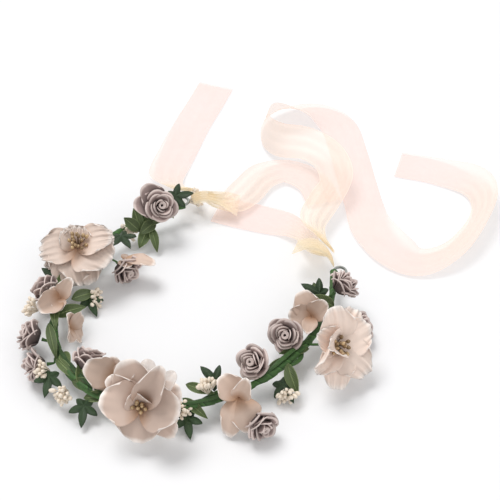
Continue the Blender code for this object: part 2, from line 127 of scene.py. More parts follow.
# Leaves: station, out and height as above, then azimuth and elevation of the tip and of the face. An oval
# leaf has its length and width too, in mm.
IVY = {
    "ivy_back": (136, -9, 19.5, -60, 10, -60, 55),
    "ivy_side": (218.5, 12, 14.5, -100, -15, -90, 50),
    "ivy_corner": (234, 10, 11, -95, -20, -80, 60),
    "ivy_front": (268, 5, 8, -80, -15, -90, 60),
    "ivy_end_left": (101, 2, 21, 10, 10, -70, 60),
    "ivy_end_right": (356, -7, 21, 160, 20, -100, 50),
    "ivy_inner_right": (307, 9, 10, -60, -10, -80, 60),
    "ivy_outer_left": (171, 8, 14, 150, 20, -90, 50),
    "ivy_inner_left": (178, -16, 8.5, -60, -20, -60, 60),
    "ivy_behind_berries": (280, -10, 18, 140, 20, -90, 50),
}
LEAVES = {
    "leaf_back": (122, -2, 17, 110, 50, -60, 40, 17, 8),
    "leaf_inner_left": (178, -13, 11, 20, 5, -90, 60, 16, 8),
    "leaf_along_hoop": (207, 2, 19.5, -75, -10, -90, 70, 26, 6),
    "leaf_front_right": (311, 11, 12, -70, -30, 150, 60, 20, 8),
    "leaf_back_low": (123, -12, 9, -110, -20, -60, 60, 15, 8),
    "leaf_back_inner": (118, -17, 9, -70, -30, -60, 60, 19, 6),
    "leaf_back_left": (126, -4, 18, 160, 40, -70, 40, 14, 8),
    "leaf_back_right": (116, -6, 14, -20, 20, -60, 50, 16, 7),
    "leaf_back_middle": (119, -10, 14, -130, 0, -60, 60, 15, 8),
    "leaf_back_end": (105, -4, 15, -60, 0, -60, 60, 14, 5),
    "leaf_below_left": (170, 4, 14, -120, 10, -80, 50, 22, 7),
    "leaf_inner_side": (190, -9, 14, 15, 10, -90, 60, 21, 8),
    "leaf_hoop_upper": (193, 0, 17, -80, 5, -60, 70, 24, 6),
    "leaf_side": (216, -2, 16, -70, 10, -90, 60, 15, 7),
    "leaf_side_low": (219, 1, 15, -50, 0, -90, 60, 20, 6),
    "leaf_corner": (225.5, -4, 16, 100, 40, -60, 50, 17, 9),
    "leaf_corner_low": (230, -1, 14, -20, 0, -90, 60, 20, 8),
    "leaf_corner_end": (236, 1, 13, 0, 10, -90, 60, 18, 7),
    "leaf_before_front": (271, 2, 12, -40, -10, -90, 60, 20, 6),
    "leaf_by_berries": (273, -7, 18, -30, 10, -90, 50, 20, 6),
    "leaf_front": (288, -1, 15, 30, 5, -90, 60, 18, 6),
    "leaf_right": (313, -3, 12, 30, 0, -60, 60, 18, 6),
    "leaf_under_rose": (322, -2, 14, 200, 10, -90, 60, 20, 6),
    "leaf_end_right": (352, -3, 20, 170, 30, -90, 50, 16, 8),
    "leaf_far_right": (358, -10, 20, 100, 20, -90, 50, 14, 6),
}

# Strips of tape end and leaf stalk that run beside the hoop: first and last station, out and height in mm.
STRAPS = ((262, 292, 1.5, 17), (270, 296, -3.5, 15), (276, 294, 3, 16.5), (300, 332, -1.5, 17),
          (312, 326, 4.5, 13), (190, 214, 2.5, 16), (204, 240, -2, 17), (222, 246, 3, 15),
          (100, 122, 0, 17), (338, 352, 1, 17))

# Ribbon tails, from each knot: x, y and z in mm from the knot's foot on the floor, the tilt of the
# ribbon's width out of level in degrees, and the share of its width that isn't gathered.
TAILS = {
    "ribbon_left_tail_back": ("left", [
        (-5, 6, 13, 40, 0.25), (-16, 12, 11, 30, 0.55), (-24, 31, 5, 12, 0.9), (-17, 62, 1.5, 4, 1),
        (-8, 93, 0, 0, 1), (1, 118, 0, 0, 1), (9, 141, 0, 0, 1),
    ]),
    "ribbon_left_tail_inner": ("left", [
        (5.5, -1, 13, 60, 0.25), (13, -3, 11, 40, 0.4), (23, 1, 8, 20, 0.7), (33, 12, 8, 25, 0.8),
        (43, 29, 6, 15, 0.8), (56, 39, 3, 0, 0.9), (69, 36, 2.5, 0, 0.9), (80, 25, 2.5, 0, 0.9),
        (86, 6, 2.5, 0, 0.9),
    ]),
    "ribbon_right_tail_long": ("right", [
        (-4, 7, 13, 60, 0.25), (-11, 22, 12, 40, 0.4), (-15, 38, 12, 15, 0.7), (-7, 58, 12, 5, 0.8),
        (2, 80, 13, -20, 0.9), (-3, 101, 15, -25, 0.9), (-18, 115, 15, -35, 0.9), (-36, 119, 15, -55, 0.9),
        (-46, 131, 14, -75, 0.9), (-45, 149, 14, -70, 0.9), (-31, 160, 11, -40, 0.9), (-9, 163, 5, -10, 1),
        (7, 152, 1, 0, 1), (13, 124, 0, 0, 1), (17, 94, 0, 0, 1), (21, 64, 2, 0, 1),
        (24, 38, 7, 20, 1), (37, 16, 7, 20, 1), (55, 7, 3.5, 5, 0.9), (77, 16, 6, -20, 0.8),
        (95, 40, 9, -40, 0.8), (103, 63, 9, -40, 0.8), (98, 84, 7, -25, 0.9), (76, 100, 2, -5, 1),
        (48, 109, 0, 0, 1),
    ]),
    "ribbon_right_tail_short": ("right", [
        (-7, 4, 11, 30, 0.25), (-16, 14, 7, 20, 0.4), (-21, 32, 2.5, 8, 0.65), (-33, 45, 0.5, 0, 0.9),
        (-48, 51, 0, 0, 1), (-64, 56, 0, 0, 1), (-80, 62, 0, 0, 1),
    ]),
}

# Ribbon gathered at each end of the hoop: x, y and z in mm, then tilt and share as above.
GATHERS = {
    "ribbon_left_gather": [
        (-5, 88.5, 14, 30, 0.2), (0, 90, 15.5, 20, 0.3), (7, 92, 14, 0, 0.4), (16, 93, 10, 0, 0.6),
        (26, 92, 6, 0, 0.8),
    ],
    "ribbon_right_gather": [
        (88, 25, 14, 60, 0.25), (85, 29, 19, 40, 0.3), (79, 34, 22, 20, 0.4), (72, 38, 21, 10, 0.5),
        (63, 40, 16, 10, 0.6),
    ],
}

# Petals, here and in the three tables below: turn in degrees as the head is faced, length and width
# in mm, tilt at the base and at the tip, sideways curl and twist.
BLOSSOM_PETALS = {
    "blossom_left": [
        (215, 26, 22, 8, -36, 0, 0), (284, 27, 31, 14, -22, 0, 0), (14, 24, 26, 22, -4, 0.05, 0),
        (250, 28, 31, 16, -44, 0, 0), (185, 27, 26, 26, -42, 0.1, 0), (328, 27, 34, 36, -8, 0.05, 0),
        (133, 15, 21, 52, 8, 0.15, 0), (85, 13, 20, 56, 14, 0.2, 0), (6, 25, 22, 46, -4, 0.25, 0),
    ],
    "blossom_front": [
        (318, 27, 18, 5, -12, 0.1, 0), (20, 25, 24, 12, 4, 0.1, 0), (138, 26, 17, 24, 8, 0.2, 0),
        (268, 22, 29, 12, -8, 0.1, 0), (108, 29, 27, 22, 8, 0.2, 0), (171, 25, 27, 36, -2, 0.12, 0),
        (355, 26, 29, 40, 8, 0.25, 10), (60, 32, 17, 40, 22, 0.8, 0), (110, 12, 16, 60, 30, 0.5, 20),
    ],
    "blossom_right": [
        (40, 25, 24, 20, -10, 0.1, 0), (-115, 28, 24, 28, 0, 0.1, 0), (-62, 27, 26, 32, -8, 0.1, 0),
        (10, 24, 26, 36, -10, 0.1, 0), (90, 28, 27, 46, 12, 0.15, 0), (200, 27, 16, 30, 20, 0.8, 30),
        (165, 24, 18, 62, 50, 0.7, -20), (140, 22, 20, 44, 20, 0.3, 0),
    ],
}
# Thin, see-through petals behind the others
VEIL_PETALS = {"blossom_front": [(79, 29, 17, 26, 10, 0.2, 0), (44, 32, 15, 34, 18, 0.3, 0)]}
# Waves in the petals' rims, then the stamens: how many, their length in mm, and their least and most lean.
BLOSSOM_RIMS = {
    "blossom_left": (4.4, 16, 10.5, 12, 42),
    "blossom_front": (1.6, 9, 6.5, 8, 45),
    "blossom_right": (2.4, 20, 9.5, 5, 48),
}
BLOSSOM_FINISHES = {"blossom_left": "petal", "blossom_front": "taupe", "blossom_right": "pale"}
FLORET_PETALS = {
    "floret_left": [
        (60, 17, 11, 36, 12, 0.35, 0), (212, 16, 15, 46, 6, 0.9, 0), (128, 9, 9, 20, 10, 0.3, 0),
        (275, 9, 10, 40, 20, 0.3, 0),
    ],
    "floret_inner_left": [
        (90, 11, 12, 30, 10, 0.4, 0), (190, 12, 11, 30, -10, 0.4, 0), (270, 14, 12, 20, 0, 0.3, 0),
        (0, 12, 12, 40, 20, 0.3, 0),
    ],
    "floret_under_blossom": [
        (170, 21, 16, 8, -16, 0.15, 0), (110, 9, 11, 4, -26, 0.1, 0), (235, 9, 11, 4, -26, 0.1, 0),
    ],
    "floret_corner": [
        (165, 20, 20, 45, 6, 0.3, 0), (96, 13, 14, 30, 14, 0.3, 0), (228, 15, 14, 20, 0, 0.3, 0),
        (20, 12, 13, 35, 20, 0.3, 0),
    ],
    "floret_drop": [
        (132, 17, 17, 22, -8, 0.3, 0), (254, 26, 17, 22, -40, -0.4, 0), (290, 24, 20, 34, -38, -0.4, 0),
        (70, 21, 12, 62, 40, 0.6, 0),
    ],
    "floret_right": [
        (118, 18, 18, 34, 0, 0.25, 0), (50, 16, 14, 46, 20, 0.3, 0), (182, 15, 15, 30, 10, 0.3, 0),
        (268, 16, 10, 40, 56, 0.3, 0),
    ],
}
# The loose outer petals of some roses
GUARD_PETALS = {
    "rose_end_left": [(118, 19, 18, 26, 14, 0.3, 0), (162, 19, 17, 22, 8, 0.3, 0)],
    "rose_side_back": [
        (10, 15, 15, 76, 46, 0.3, 0), (70, 15, 15, 76, 46, 0.3, 0), (250, 13, 14, 70, 30, 0.3, 0),
    ],
    "rose_side_middle": [
        (30, 13, 13, 70, 30, 0.3, 0), (150, 12, 13, 60, 30, 0.3, 0), (270, 14, 14, 60, 20, 0.3, 0),
    ],
    "rose_side_front": [
        (100, 12, 12, 60, 40, 0.3, 0), (220, 13, 13, 60, 20, 0.3, 0), (340, 13, 13, 60, 20, 0.3, 0),
    ],
    "rose_corner": [
        (85, 16, 15, 76, 46, 0.35, 0), (135, 17, 15, 76, 46, 0.35, 0), (190, 16, 14, 70, 40, 0.35, 0),
    ],
    "rose_front": [(-10, 13, 12, 50, 60, 0.4, 0), (250, 12, 12, 60, 40, 0.3, 0)],
    "rose_inner_right": [(140, 14, 15, 20, 10, 0.3, 0), (-20, 13, 12, 50, 50, 0.3, 0)],
    "rose_end_right": [
        (180, 14, 13, 50, 30, 0.3, 0), (240, 14, 14, 50, 20, 0.3, 0), (300, 14, 13, 50, 30, 0.3, 0),
    ],
    "rose_far_right": [(20, 13, 13, 60, 30, 0.3, 0)],
    "rose_low_right": [
        (70, 12, 14, 60, 30, 0.3, 0), (200, 12, 14, 60, 30, 0.3, 0), (320, 12, 14, 60, 30, 0.3, 0),
    ],
}

# Rings of a foam rose: petals, their radius, height, lip and half span, the lengths as shares of the radius.
ROSE_RINGS = ((3, 0.3, 0.84, 0.12, 1.2), (3, 0.45, 0.82, 0.22, 1.15), (4, 0.6, 0.68, 0.3, 0.95),
              (5, 0.72, 0.46, 0.42, 0.8))
PETAL_SLOT, FLORET_SLOT, ROSE_SLOT = "blossom_petal", "floret_petal", "foam_rose"


def linear(code):
    """Scene colour of a six-digit paint code."""
    parts = [int(code[index:index + 2], 16) / 255 for index in (0, 2, 4)]
    return tuple(part / 12.92 if part < 0.04 else ((part + 0.055) / 1.055) ** 2.4 for part in parts)


def length(name, description, default):
    return FloatProperty(name=name, description=description, default=default, min=0, unit="LENGTH")


def colour(name, description, code):
    return FloatVectorProperty(name=name, description=description, default=linear(code), size=3,
                               min=0, max=1, subtype="COLOR")


class CrownSizes(bpy.types.PropertyGroup):
    hoop_long_radius: length("Hoop long radius", "Half the hoop's length", 99 * MM)
    hoop_short_radius: length("Hoop short radius", "Half the hoop's breadth", 79 * MM)
    hoop_height: length("Hoop height", "Height of the hoop's wire above the floor", 13 * MM)
    tape_radius: length("Tape radius", "Radius of the taped hoop", 2.4 * MM)
    ribbon_width: length("Ribbon width", "Width of the ribbon laid flat", 27 * MM)
    rose_radius: length("Rose radius", "Radius of a foam rose", 9.5 * MM)
    ivy_radius: length("Ivy leaf radius", "Reach of an ivy leaf's longest point", 13 * MM)
    petal_thickness: length("Petal thickness", "Thickness of the petal cloth", 0.3 * MM)
    leaf_thickness: length("Leaf thickness", "Thickness of the leaves and the straps", 0.3 * MM)
    foam_thickness: length("Foam thickness", "Thickness of the roses' foam", 0.7 * MM)


class CrownColours(bpy.types.PropertyGroup):
    blossom: colour("Blossom", "Blossom petals", "E0CCBF")
    blossom_heart: colour("Blossom heart", "Blossom petals at their base", "B78F72")
    blossom_edge: colour("Blossom edge", "Blossom petals at their rim", "FAF1EA")
    pale: colour("Pale blossom", "Petals of the palest blossom", "F1DDD0")
    taupe: colour("Taupe blossom", "Petals of the darkest blossom", "CDB6A8")
    rose: colour("Rose", "Foam of the roses", "A38F8B")
    rose_edge: colour("Rose edge", "Cut edge of the roses' foam", "D6C6C0")
    floret: colour("Floret", "Floret petals", "CFB7A7")
    floret_heart: colour("Floret heart", "Floret petals at their base", "B28A6C")
    ivy: colour("Ivy", "Ivy leaves", "31472A")
    leaf: colour("Oval leaf", "Oval leaves", "53633A")
    leaf_edge: colour("Oval leaf edge", "Rim and vein of the oval leaves", "8E9E68")
    tape: colour("Tape", "Tape of the hoop and stems", "3B5F2C")
    # Painted shade where each turn of the tape tucks under the next.
    tape_seam_shade: colour("Tape seam", "Where the tape's turns overlap", "23401C")
    ribbon: colour("Ribbon", "Sheer ribbon", "F0D2C8")
    ribbon_fold: colour("Folded ribbon", "Sheer ribbon where it is gathered or folded", "E8D8BA")
    berry: colour("Berry", "Berries", "EDDCCA")
    berry_blush: colour("Berry blush", "Darker side of the berries", "C99B82")
    pearl: colour("Pearl", "Tips of the stamens", "D6B98F")
    thread: colour("Thread", "Stamens' threads", "6A5138")
    wire: colour("Wire", "Bare wire", "3F4A38")


# Shader values


class Value:
    """A socket of a finish: arithmetic on it adds Math nodes."""

    def __init__(self, finish, socket):
        self.finish = finish
        self.socket = socket

    def math(self, operation, *terms):
        return self.finish.node("Math", {"operation": operation}, dict(enumerate(terms)))

    def __add__(self, other):
        return self.math("ADD", self, other)

    def __sub__(self, other):
        return self.math("SUBTRACT", self, other)

    def __rsub__(self, other):
        return self.math("SUBTRACT", other, self)

    def __mul__(self, other):
        return self.math("MULTIPLY", self, other)

    __radd__ = __add__
    __rmul__ = __mul__


class Finish:
    """A material whose shader takes fixed values by name, and patterns through its methods."""

    def __init__(self, name, **fixed):
        self.material = bpy.data.materials.new(name)
        self.material.use_nodes = True
        self.tree = self.material.node_tree
        self.shader = self.tree.nodes["Principled BSDF"]
        for key, value in fixed.items():
            self.set(key.replace("_", " ").title(), value)

    def join(self, socket, value):
        if isinstance(value, Value):
            self.tree.links.new(value.socket, socket)
        elif hasattr(value, "__len__") and len(socket.default_value) == 4:
            socket.default_value = (*value[:3], 1)
        else:
            socket.default_value = value

    def set(self, key, value):
        self.join(self.shader.inputs[key], value)

    def node(self, kind, settings=None, inputs=None, output=0):
        made = self.tree.nodes.new("ShaderNode" + kind)
        for key, value in (settings or {}).items():
            if key == "stops":
                ramp = made.color_ramp.elements
                while len(ramp) < len(value):
                    ramp.new(0.5)
                for element, (position, shade) in zip(ramp, value):
                    element.position = position
                    element.color = (*shade, 1)
            else:
                setattr(made, key, value)
        for key, value in (inputs or {}).items():
            self.join(made.inputs[key], value)
        return Value(self, made.outputs[output])

    def across_and_along(self):
        """The piece's own cloth coordinates: across from 0 to 1, and along from base to tip."""
        cloth = self.node("UVMap", {"uv_map": "cloth"})
        return [self.node("SeparateXYZ", inputs={0: cloth}, output=axis) for axis in (0, 1)]

    def speckle(self, size, detail=2):
        """Cloudy noise of the given size in metres."""
        where = self.node("TexCoord", output=3)
        return self.node("TexNoise", inputs={"Vector": where, "Scale": 1 / size, "Detail": detail})

    def waves(self, angle):
        return self.node("Math", {"operation": "SINE"}, {0: angle})

    def ramp(self, value, *stops):
        return self.node("ValToRGB", {"stops": stops}, {0: value})

    def shades(self, factor, low, high):
        return self.node("Mix", {"data_type": "RGBA"}, {0: factor, 6: low, 7: high}, 2)

    def dimmed(self, shade, factor):
        """A colour times a number that is near one."""
        multiply = {"data_type": "RGBA", "blend_type": "MULTIPLY"}
        return self.node("Mix", multiply, {0: 1, 6: shade, 7: factor}, 2)

    def tone(self):
        """The number from 0 to 1 that each petal, leaf or berry was given."""
        return self.node("Attribute", {"attribute_name": "tone"}, output=2)

    def bump(self, height, depth):
        self.set("Normal", self.node("Bump", inputs={"Height": height, "Strength": 1, "Distance": depth}))


def cloth_finish(name, body, heart, edge, pleats, heart_reach, depth):
    """Pressed petal cloth: darker at its base, paler at its rim, with pleats that run out to the rim, whose
    shade and light come from the bump and are also painted into the colour.
    """
    finish = Finish(name, roughness=0.75, sheen_weight=0.15)
    across, along = finish.across_and_along()
    grain = finish.speckle(6 * MM)
    fan = finish.waves((across - 0.5 + (grain - 0.5) * 0.05) * (pleats * math.tau))
    shade = finish.ramp(along + (grain - 0.5) * 0.1,
                        (0.05, heart), (heart_reach, body), (0.86, body), (1, edge))
    # The pleat waves raise the bump and are also painted into the colour as shade and light across each
    # pleat.
    pleat_and_painted_shade = fan * along * along
    shade = finish.dimmed(shade, 0.86 + finish.tone() * 0.18 + pleat_and_painted_shade * 0.07 + (grain - 0.5) * 0.12)
    finish.set("Base Color", shade)
    finish.bump(pleat_and_painted_shade + finish.speckle(0.7 * MM) * 0.15, depth)
    return finish.material


def veil_finish(name, body):
    finish = Finish(name, roughness=0.7)
    _, along = finish.across_and_along()
    finish.set("Base Color", finish.dimmed(body, 0.92 + finish.speckle(6 * MM) * 0.15))
    finish.set("Alpha", 0.3 + along * along * 0.3)
    return finish.material


def foam_finish(name, body, edge):
    finish = Finish(name, roughness=0.95)
    _, along = finish.across_and_along()
    # Painted shade: each petal darkens steeply towards its base, deep between the petals, before its rim
    # takes the edge colour.
    shade = finish.ramp(along, (0.1, [part * 0.15 for part in body]), (0.6, [part * 0.5 for part in body]),
                        (0.88, body), (0.95, edge))
    finish.set("Base Color", finish.dimmed(shade, 0.8 + finish.tone() * 0.35))
    finish.bump(finish.speckle(0.35 * MM), 0.15 * MM)
    return finish.material


def leaf_finish(name, body, edge, gloss):
    finish = Finish(name, roughness=gloss)
    across, along = finish.across_and_along()
    off_middle = finish.node("Math", {"operation": "ABSOLUTE"}, {0: across - 0.5}) * 2
    vein = finish.waves((along * 9 - off_middle * 3) * math.tau)
    rib = finish.ramp(off_middle, (0, (1, 1, 1)), (0.1, (0, 0, 0)), (0.9, (0, 0, 0)), (1, (0.7, 0.7, 0.7)))
    shade = finish.shades(rib, body, edge)
    mottle = (finish.speckle(4 * MM) - 0.5) * 0.3
    shade = finish.dimmed(shade, 0.75 + finish.tone() * 0.5 + mottle + vein * 0.03)
    finish.set("Base Color", shade)
    finish.bump(vein * 0.5 + rib, 0.2 * MM)
    return finish.material


def tape_finish(name, body, seam_shade, turns):
    """Crepe tape wound on a slant: each turn is painted darker as shade under the edge of the next, and its
    raised edge has a painted highlight.
    """
    finish = Finish(name, roughness=0.65)
    across, along = finish.across_and_along()
    turn = finish.node("Math", {"operation": "FRACT"}, {0: along * turns + across})
    grain = finish.speckle(5 * MM)
    # Painted highlight on the raised edge of each turn, with painted shade in the seam under it.
    painted_highlight = [min(1, part * 1.6) for part in body]
    shade = finish.ramp(turn + (grain - 0.5) * 0.15, (0.0, seam_shade), (0.15, body), (0.8, body), (0.97, painted_highlight))
    finish.set("Base Color", finish.dimmed(shade, 0.8 + grain * 0.4))
    finish.bump(turn + finish.speckle(0.6 * MM) * 0.3, 0.3 * MM)
    return finish.material


def ribbon_finish(name, body, fold):
    """Sheer organza: thin between its threads, closer and creamier where it is gathered, with a faint painted
    glow in its own colour for the light that shines through it.
    """
    finish = Finish(name, roughness=0.6, emission_strength=0.18)
    across, _ = finish.across_and_along()
    gathered = finish.tone()
    off_middle = finish.node("Math", {"operation": "ABSOLUTE"}, {0: across - 0.5}) * 2
    selvedge = finish.ramp(off_middle, (0, (0, 0, 0)), (0.94, (0, 0, 0)), (0.97, (0.12, 0.12, 0.12)))
    shade = finish.shades(gathered, body, fold)
    finish.set("Base Color", shade)
    # Painted light: the ribbon glows faintly in its own colour, which lightens its folds where they are in
    # shade.
    finish.set("Emission Color", shade)
    finish.set("Alpha", 0.36 + gathered * 0.2 + selvedge + (finish.speckle(25 * MM) - 0.5) * 0.15)
    return finish.material


def bead_finish(name, body, blush, roughness, metallic=0):
    finish = Finish(name, roughness=roughness, metallic=metallic)
    grain = finish.speckle(1.2 * MM)
    finish.set("Base Color", finish.shades(finish.tone() * 0.7 + grain * 0.3, body, blush))
    finish.bump(grain, 0.1 * MM)
    return finish.material


def plain_finish(name, body, roughness, metallic=0):
    finish = Finish(name, roughness=roughness, metallic=metallic)
    finish.set("Base Color", finish.dimmed(body, 0.85 + finish.speckle(3 * MM) * 0.3))
    return finish.material


FINISHES = {
    "petal": lambda c: cloth_finish("petal", c.blossom, c.blossom_heart, c.blossom_edge, 6, 0.5, 0.6 * MM),
    "pale": lambda c: cloth_finish("pale", c.pale, c.blossom, c.blossom_edge, 5, 0.4, 0.5 * MM),
    "taupe": lambda c: cloth_finish("taupe", c.taupe, c.blossom_heart, c.blossom_edge, 2, 0.4, 0.2 * MM),
    "veil": lambda c: veil_finish("veil", c.blossom_edge),
    "floret": lambda c: cloth_finish("floret", c.floret, c.floret_heart, c.blossom_edge, 3, 0.45, 0.2 * MM),
    "foam": lambda c: foam_finish("foam", c.rose, c.rose_edge),
    "ivy": lambda c: leaf_finish("ivy", c.ivy, c.ivy, 0.45),
    "leaf": lambda c: leaf_finish("leaf", c.leaf, c.leaf_edge, 0.5),
    "tape": lambda c: tape_finish("tape", c.tape, c.tape_seam_shade, TAPE_TURNS),
    "strap": lambda c: leaf_finish("strap", c.tape, c.leaf, 0.5),
    "stem": lambda c: plain_finish("stem", c.tape, 0.6),
    "wire": lambda c: plain_finish("wire", c.wire, 0.4, 0.8),
    "ribbon": lambda c: ribbon_finish("ribbon", c.ribbon, c.ribbon_fold),
    "berry": lambda c: bead_finish("berry", c.berry, c.berry_blush, 0.5),
    "pearl": lambda c: bead_finish("pearl", c.pearl, c.thread, 0.2, 0.25),
    "thread": lambda c: plain_finish("thread", c.thread, 0.5),
}


def finish_of(name):
    return bpy.data.materials.get(name) or FINISHES[name](bpy.context.scene.crown_colours)


# Places on the hoop


def direction(azimuth, elevation):
    return Euler((0, -math.radians(elevation), math.radians(azimuth))).to_matrix() @ Vector((1, 0, 0))


def hoop_radius(station):
    sizes = bpy.context.scene.crown_sizes
    turn = math.radians(station - HOOP_LONG_DIRECTION)
    across = math.hypot(sizes.hoop_short_radius * math.cos(turn), sizes.hoop_long_radius * math.sin(turn))
    return sizes.hoop_long_radius * sizes.hoop_short_radius / across


def hoop_point(station):
    return direction(station, 0) * hoop_radius(station) + UP * bpy.context.scene.crown_sizes.hoop_height


def hoop_tangent(station):
    return (hoop_point(station + 0.5) - hoop_point(station - 0.5)).normalized()


def pick_head(station, out, up):
    return direction(station, 0) * (hoop_radius(station) + out * MM) + UP * up * MM


def turned_to(facing, roll=0):
    """A rotation whose Z looks along facing, with X level before the roll."""
    side = UP.cross(facing).normalized()
    turn = Matrix((side, facing.cross(side), facing)).transposed().to_4x4()
    return turn @ Matrix.Rotation(math.radians(roll), 4, "Z")


def pick_place(station, out, up, azimuth, elevation, roll=0):
    """A pick's head, with Z along the way that it faces."""
    return Matrix.Translation(pick_head(station, out, up)) @ turned_to(direction(azimuth, elevation), roll)


def way_along(path, index):
    return (path[min(index + 1, len(path) - 1)] - path[max(index - 1, 0)]).normalized()


def smooth_route(points, steps):
    """Points on a Catmull-Rom curve through the given vectors."""
    ends = [points[0] * 2 - points[1]] + points + [points[-1] * 2 - points[-2]]
    route = []
    for a, b, c, d in zip(ends, ends[1:], ends[2:], ends[3:]):
        for index in range(steps):
            t = index / steps
            route.append(0.5 * (2 * b + (c - a) * t + (2 * a - 5 * b + 4 * c - d) * t * t
                                + (3 * b - a - 3 * c + d) * t**3))
    return route + [points[-1]]


# Shapes, each added to a bmesh


def new_cloth():
    bm = bmesh.new()
    bm.loops.layers.uv.new("cloth")
    bm.verts.layers.float.new("tone")
    return bm


def patch(bm, across, along, shape, tone=0.5, rolled=False):
    """A grid placed by shape(u, v), with u from -1 to 1 across it and v from 0 to 1 along it."""
    verts = bmesh.ops.create_grid(bm, x_segments=across, y_segments=along, size=1)["verts"]
    cloth = bm.loops.layers.uv["cloth"]
    for vert in verts:
        u, v = vert.co.x, (vert.co.y + 1) / 2
        for loop in vert.link_loops:
            loop[cloth].uv = ((u + 1) / 2, v)
        vert[bm.verts.layers.float["tone"]] = tone(v) if callable(tone) else tone
    for vert in verts:
        vert.co = shape(vert.co.x, (vert.co.y + 1) / 2)
    if rolled:
        bmesh.ops.remove_doubles(bm, verts=verts, dist=1e-6)


def tube(bm, path, radii, sides=8, tone=0.5):
    """A round bar along a path, closed at its ends."""
    frames = []
    turn = None
    for index, point in enumerate(path):
        along = way_along(path, index)
        if turn is None:
            turn = turned_to(along).to_3x3()
        else:
            turn = (turn @ UP).rotation_difference(along).to_matrix() @ turn
        frames.append((point, turn.copy(), radii[index]))
    frames = [(frames[0][0], frames[0][1], 0)] + frames + [(frames[-1][0], frames[-1][1], 0)]

    def shape(u, v):
        point, turn, radius = frames[round(v * (len(frames) - 1))]
        return point + turn @ Vector((radius * math.cos(math.pi * u), radius * math.sin(math.pi * u), 0))

    patch(bm, sides, len(frames) - 1, shape, tone, True)


def blade(bm, place, long, wide, tilts, curl=0.1, twist=0, ruffle=0, waves=2, phase=0, pointed=False,
          cells=(12, 12), tone=0.5):
    """A petal or leaf from its base out along Y, facing Z, whose tilt turns evenly from base to tip."""
    start, turn = math.radians(tilts[0]), math.radians(tilts[1] - tilts[0]) or 0.001
    corner = 0 if pointed else 0.42

    def shape(u, v):
        tilt = start + turn * v
        middle = Vector((0, math.sin(tilt) - math.sin(start), math.cos(start) - math.cos(tilt))) * long / turn
        if pointed:
            half = wide / 2 * max(0.04, math.sin(math.pi * v**0.85) ** 0.9)
        else:
            half = wide / 2 * math.sqrt(1 - ((v - 0.62) / 0.64) ** 2)
        angle = waves * math.pi * u
        wave = ruffle * v**3 * (math.sin(angle + phase) + 0.4 * math.sin(2.7 * angle + 2 * phase))
        lean = math.radians(twist) * v
        normal = Vector((0, -math.sin(tilt), math.cos(tilt)))
        onward = Vector((0, math.cos(tilt), math.sin(tilt)))
        sideways = Vector((1, 0, 0))
        point = middle + half * u * (sideways * math.cos(lean) + normal * math.sin(lean))
        point += (curl * half * u * u + wave) * (normal * math.cos(lean) - sideways * math.sin(lean))
        point += onward * (0.3 * wave - corner * (0.3 + 0.7 * u * u) * u * u * v * v * long)
        return place @ point

    patch(bm, *cells, shape, tone)


def bead(bm, centre, along, radius, stretch, tone):
    """A small bead, stretched along a direction."""
    place = Matrix.Translation(centre) @ turned_to(along)
    place = place @ Matrix.Diagonal((radius, radius, radius * stretch, 1))
    verts = bmesh.ops.create_uvsphere(bm, u_segments=8, v_segments=6, radius=1, matrix=place)["verts"]
    for vert in verts:
        vert[bm.verts.layers.float["tone"]] = tone


def rose(bm, place, radius, chance):
    """A rolled foam rose: a tight coil in rings of petals whose lips turn out to a point."""

    def wrapped(turn, span, reach, high, lip, tone):
        def shape(u, v):
            angle = turn + span * u
            point = 1 - 0.45 * abs(u) ** 1.6
            out = reach * (0.4 + 0.6 * v**0.5) + lip * v**3 * point + 0.07 * radius * u
            rise = (high + 0.6 * radius) * v * point - 0.6 * radius - 0.5 * lip * v**5
            return place @ Vector((out * math.cos(angle), out * math.sin(angle), rise))

        patch(bm, 12, 8, shape, tone)

    def coil(u, v):
        angle = 2.6 * math.pi * u
        out = radius * (0.03 + 0.15 * (u + 1) / 2 + 0.08 * v)
        return place @ Vector((out * math.cos(angle), out * math.sin(angle), radius * (0.9 * v - 0.3)))

    patch(bm, 40, 4, coil, 0.4)
    for count, reach, high, lip, span in ROSE_RINGS:
        first = chance.uniform(0, math.tau)
        for index in range(count):
            turn = first + math.tau * (index + chance.uniform(-0.12, 0.12)) / count
            wrapped(turn, span, radius * reach, radius * (high + chance.uniform(-0.1, 0.06)),
                    radius * lip * chance.uniform(0.8, 1.3), chance.random())


def petals(bm, place, rows, chance, ruffle, waves=2, lift=0.2 * MM, cells=(16, 14)):
    """A whorl of petals from a table's rows."""
    for index, (turn, long, wide, start, end, curl, twist) in enumerate(rows):
        spun = Matrix.Translation((0, 0, index * lift)) @ Matrix.Rotation(math.radians(turn - 90), 4, "Z")
        blade(bm, place @ spun, long * MM, wide * MM, (start, end), curl, twist, ruffle, waves,
              chance.uniform(0, math.tau), cells=cells, tone=chance.random())


def ivy(bm, place, reach, tone):
    """A five-pointed leaf with its tip along Y, that droops towards its points."""
    lobes = ((0, 1.0), (62, 0.78), (-62, 0.78), (128, 0.5), (-128, 0.5))

    def shape(u, v):
        turn = 180 * u
        share = 0.3
        for middle, long in lobes:
            near = max(0, 1 - abs((turn - middle + 180) % 360 - 180) / 36)
            share = max(share, 0.3 + (long - 0.3) * near**1.25)
        angle = math.radians(turn)
        out = reach * v * share
        return place @ Vector((out * math.sin(angle), out * math.cos(angle),
                               -0.3 * out * out / reach + 0.06 * reach * v * math.cos(5 * angle)))

    patch(bm, 60, 5, shape, tone, True)


# Pieces


